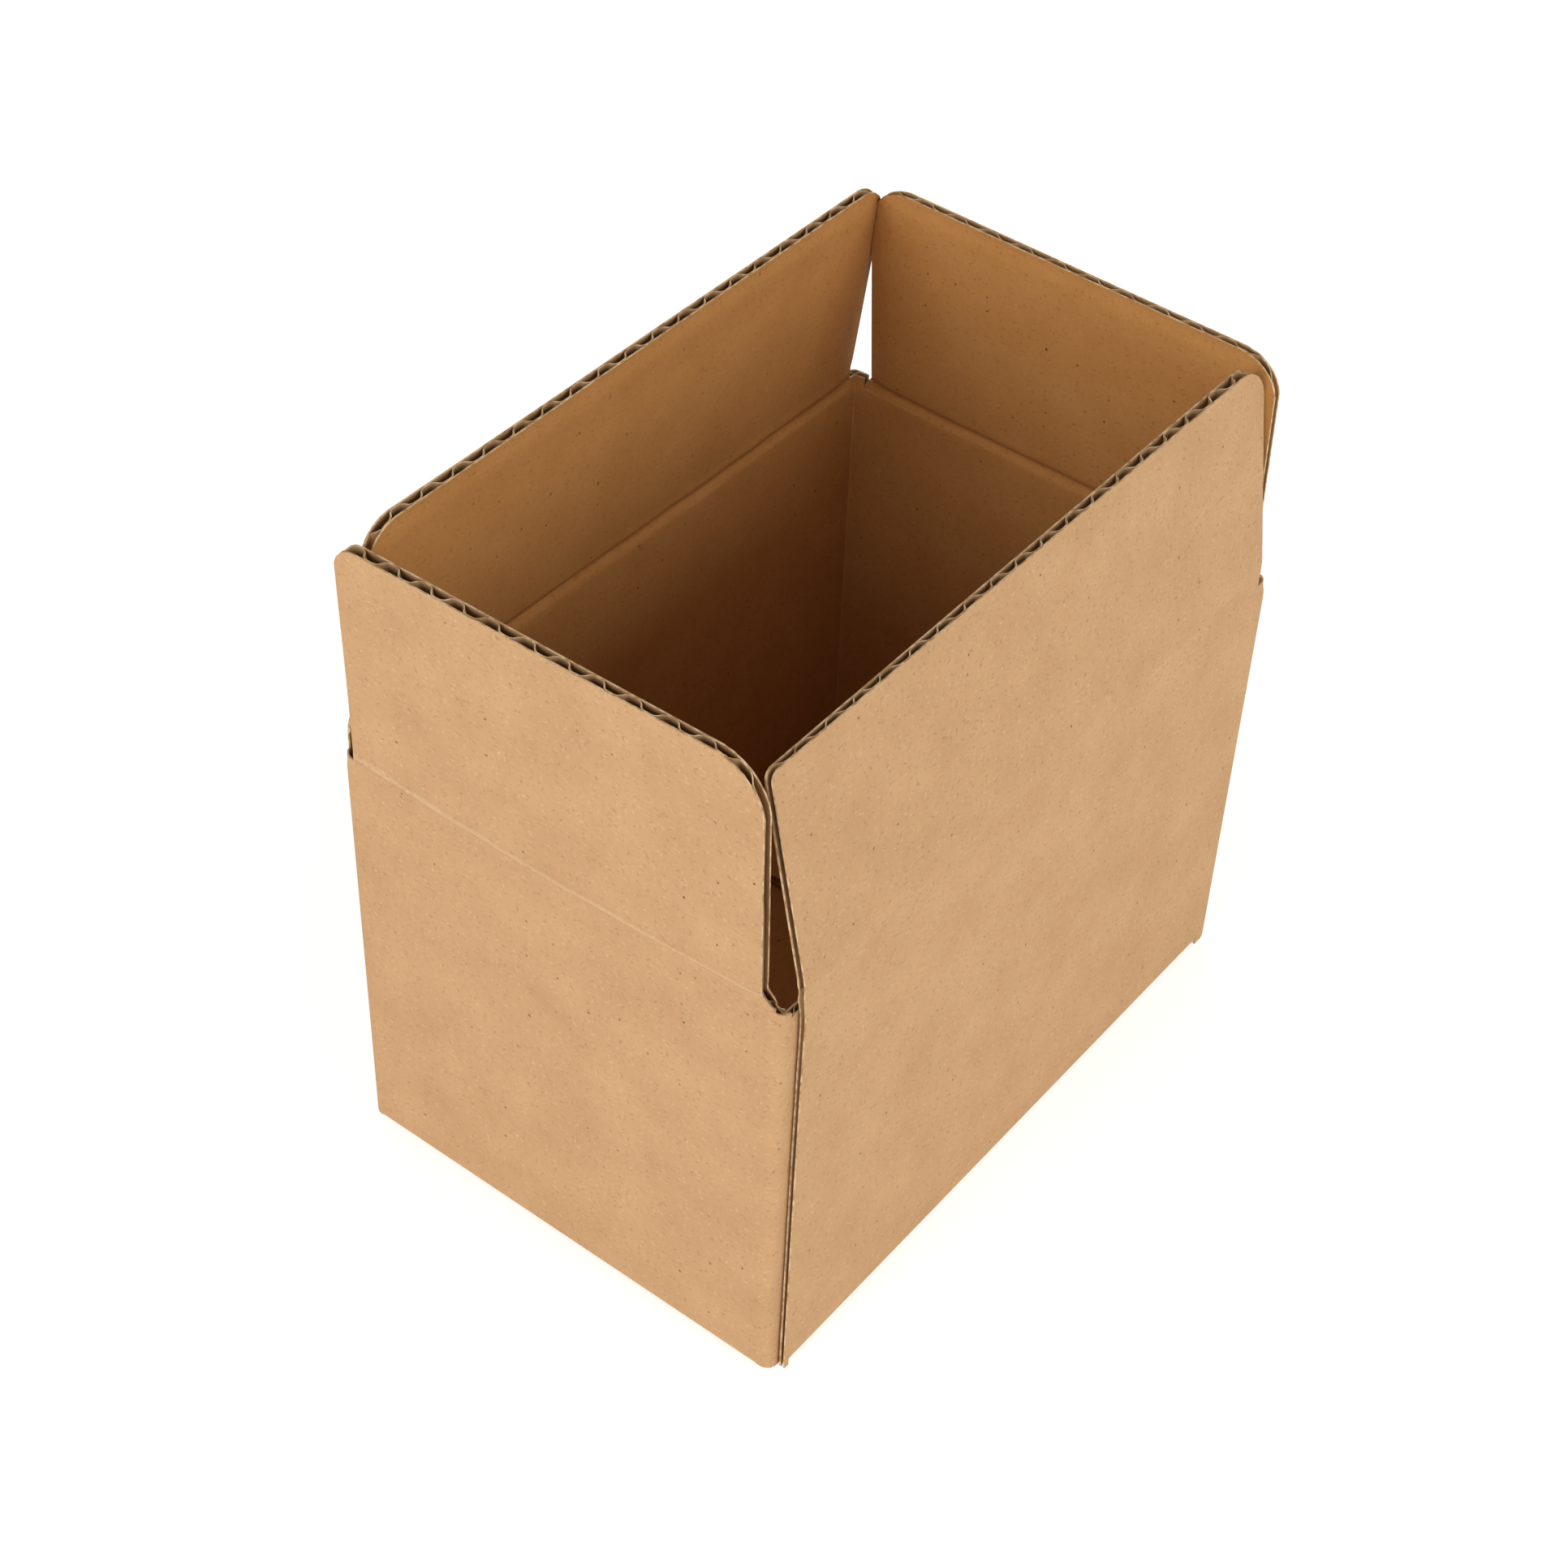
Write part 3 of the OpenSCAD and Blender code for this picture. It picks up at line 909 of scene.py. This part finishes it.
def makeInnerBottomFlap(side, turn):
    left, right = -halfWide + shortFlap["inset"], halfWide - shortFlap["inset"]
    top = shortFlap["length"]
    shape = flapShape(left, right, shortFlap["taper"], top, (shortFlap["corner"], shortFlap["corner"]))
    rows = list(shortFlap["rows"]) + [top - gap * mm for gap in bottomEdge["rows"]]
    piece = cutBoard("inner_bottom_" + side, left, right, shortFlap["start"], top, rows, [],
                     shape["trims"], wallMiddle[side])

    def lay(u, d, v):
        depth = squeezed(d, edgeGap(u, v, shape), bottomEdge["share"], bottomEdge["press"])
        return turned((u, -halfLong + v, shortFlap["floor"] + depth), turn)

    foldUp(piece, lay)
    return piece


innerFlaps = [makeInnerBottomFlap("right", 90), makeInnerBottomFlap("left", 270)]
onlySelect(walls, *innerFlaps)
bpy.ops.object.join()
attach(walls, "body")
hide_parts("box_body")
print("walls with inner bottom flaps:", len(walls.data.polygons), "faces")


def makeBottomFlap(side, turn):
    # from the seam on the wall down, round the fold and along the floor
    left, right = -halfLong + bottomInset, halfLong - bottomInset
    length, radius, floor = bottomFlap["length"], bottomFlap["round"], bottomFlap["floor"]
    arc = radius * math.pi / 2
    seam = blank["bottomSeam"]
    wallRun = seam - floor - radius
    flatTop = wallRun + arc + length - radius
    corners = (bottomFlap["corner"], bottomFlap["corner"])
    shape = flapShape(left, right, bottomFlap["taper"], flatTop, corners)
    wallRows, arcRows = bottomFlap["wallRows"], bottomFlap["arcRows"]
    rows = [wallRun * k / wallRows for k in range(1, wallRows + 1)]
    rows += [wallRun + arc * k / arcRows for k in range(1, arcRows + 1)]
    rows += [wallRun + arc + bottomFlap["flatStep"] * k for k in range(1, bottomFlap["flatRows"] + 1)]
    rows += [flatTop - gap * mm for gap in bottomEdge["rows"]]
    piece = cutBoard("bottom_flap_" + side, left, right, 0, flatTop, rows, [], shape["trims"],
                     wallMiddle[side])
    # on the blank it hangs down from the seam
    for item in piece.data.uv_layers["blank"].data:
        item.uv[1] = seam - item.uv[1]

    def shut(u, d, v):
        gap = edgeGap(u, v, shape) if v > wallRun + arc else board["edgeReach"]
        depth = squeezed(d, gap, bottomEdge["share"], bottomEdge["press"])
        small = max(radius - depth, bottomFlap["foldInside"])
        centre = depth + small
        if v <= wallRun:
            spot = (depth, seam + (floor + centre - seam) * v / wallRun)
        elif v <= wallRun + arc:
            angle = (v - wallRun) / radius
            spot = (centre - small * math.cos(angle), floor + centre - small * math.sin(angle))
        else:
            reach = (v - wallRun - arc) / (length - radius)
            spot = (centre + reach * (length - centre), floor + depth)
        return turned((-u, -halfWide + spot[0], spot[1]), turn)

    foldUp(piece, shut)
    # folding downward mirrors the board, so its faces are turned outward again
    bpy.ops.object.mode_set(mode="EDIT")
    bpy.ops.mesh.select_all(action="SELECT")
    bpy.ops.mesh.normals_make_consistent(inside=False)
    bpy.ops.object.mode_set(mode="OBJECT")
    start = turned((0, -halfWide, floor + radius), turn)
    end = turned((0, -halfWide + radius, floor), turn)
    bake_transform(piece)
    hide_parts(side + "_bottom_flap")
    print("flap:", piece.name, len(piece.data.polygons), "faces")


for side, turn in (("front", 0), ("rear", 180)):
    makeBottomFlap(side, turn)


# white sweep lit from below, as under a product tent, with large softboxes to the left, in front
# and behind, and a weak one over the camera that reaches down into the box
stage = {
    "size": 6.0, "floor": "#f4f4f4", "rough": 0.9, "gloss": 0.1,
    "glow": 0.47,
    "foot": (74 * mm, 48 * mm),  # half sizes of the floor under the box, which doesn't glow
    "world": "#ffffff", "worldStrength": 0.4,
    "aim": (0, 0, 80 * mm),  # where the softboxes point
}
softboxes = {
    "key": {"spot": (-1.35, 0.22, 0.64), "size": 0.9, "power": 11.2},
    "fill": {"spot": (0.1, -1.45, 0.78), "size": 0.9, "power": 12.3},
    "front": {"spot": (-0.94, -0.69, 1.1), "size": 0.6, "power": 1.2},
    "back": {"spot": (1.05, 1.25, 0.6), "size": 0.9, "power": 5.0},
}


def makeFloor():
    bpy.ops.object.select_all(action="DESELECT")
    bpy.ops.mesh.primitive_plane_add(size=stage["size"], location=(0, 0, 0))
    floor = bpy.context.object
    floor.name = "floor"
    material, tree, shader = newMaterial("floor_matt_white", stage["rough"], stage["gloss"])
    shader.inputs["Base Color"].default_value = hexColor(stage["floor"])
    shader.inputs["Emission Color"].default_value = hexColor(stage["floor"])
    # no light comes up through the floor that the box stands on
    place = addNode(tree, "ShaderNodeTexCoord").outputs["Object"]
    away = addNode(tree, "ShaderNodeVectorMath", {"operation": "ABSOLUTE"}, {
        0: place}).outputs["Vector"]
    sides = addNode(tree, "ShaderNodeSeparateXYZ", None, {0: away}).outputs
    beside, before = [
        addNode(tree, "ShaderNodeMath", {"operation": "GREATER_THAN", 1: half}, {
            0: sides[axis]}).outputs[0]
        for axis, half in zip("XY", stage["foot"])
    ]
    clear = addNode(tree, "ShaderNodeMath", {"operation": "MAXIMUM"}, {
        0: beside, 1: before}).outputs[0]
    glow = addNode(tree, "ShaderNodeMath", {"operation": "MULTIPLY", 1: stage["glow"]}, {
        0: clear}).outputs[0]
    tree.links.new(glow, shader.inputs["Emission Strength"])
    floor.data.materials.append(material)


def addSoftbox(name, box):
    bpy.ops.object.light_add(type="AREA", location=box["spot"])
    lamp = bpy.context.object
    lamp.name = name
    lamp.data.shape = "SQUARE"
    lamp.data.size = box["size"]
    lamp.data.energy = box["power"]
    aim = Vector(stage["aim"]) - Vector(box["spot"])
    lamp.rotation_euler = aim.to_track_quat("-Z", "Y").to_euler()


makeFloor()
for name, box in softboxes.items():
    addSoftbox(name, box)
bpy.context.scene.view_settings.view_transform = "Standard"
world = bpy.data.worlds.new("studio")
bpy.context.scene.world = world
world.use_nodes = True
backdrop = world.node_tree.nodes["Background"]
backdrop.inputs["Color"].default_value = hexColor(stage["world"])
backdrop.inputs["Strength"].default_value = stage["worldStrength"]
print("studio: floor and", len(softboxes), "softboxes")

# camera worked out from the photo's edges; angles in degrees
view = {
    "azimuth": -53.61, "elevation": 43.32, "roll": 2.47, "distance": 620.85 * mm,
    "target": (-3.54 * mm, 5.81 * mm, 70 * mm),
    "focalPixels": 3762, "imagePixels": 1932,
    "sensor": 36,  # mm
    "clipStart": 10 * mm,
}


def makeCamera():
    azimuth, elevation = math.radians(view["azimuth"]), math.radians(view["elevation"])
    back = Vector((math.sin(azimuth) * math.cos(elevation),
                   -math.cos(azimuth) * math.cos(elevation), math.sin(elevation)))
    bpy.ops.object.camera_add(location=Vector(view["target"]) + back * view["distance"])
    camera = bpy.context.object
    camera.data.sensor_width = view["sensor"]
    camera.data.lens = view["focalPixels"] / view["imagePixels"] * camera.data.sensor_width
    camera.data.clip_start = view["clipStart"]
    facing = (-back).to_track_quat("-Z", "Y").to_matrix()
    roll = math.radians(view["roll"])
    right, up = facing.col[0].copy(), facing.col[1].copy()
    facing.col[0] = math.cos(roll) * right + math.sin(roll) * up
    facing.col[1] = math.cos(roll) * up - math.sin(roll) * right
    camera.rotation_euler = facing.to_euler()
    bpy.context.scene.camera = camera
    print("camera:", round(camera.data.lens, 2), "mm lens at", tuple(camera.location))


makeCamera()
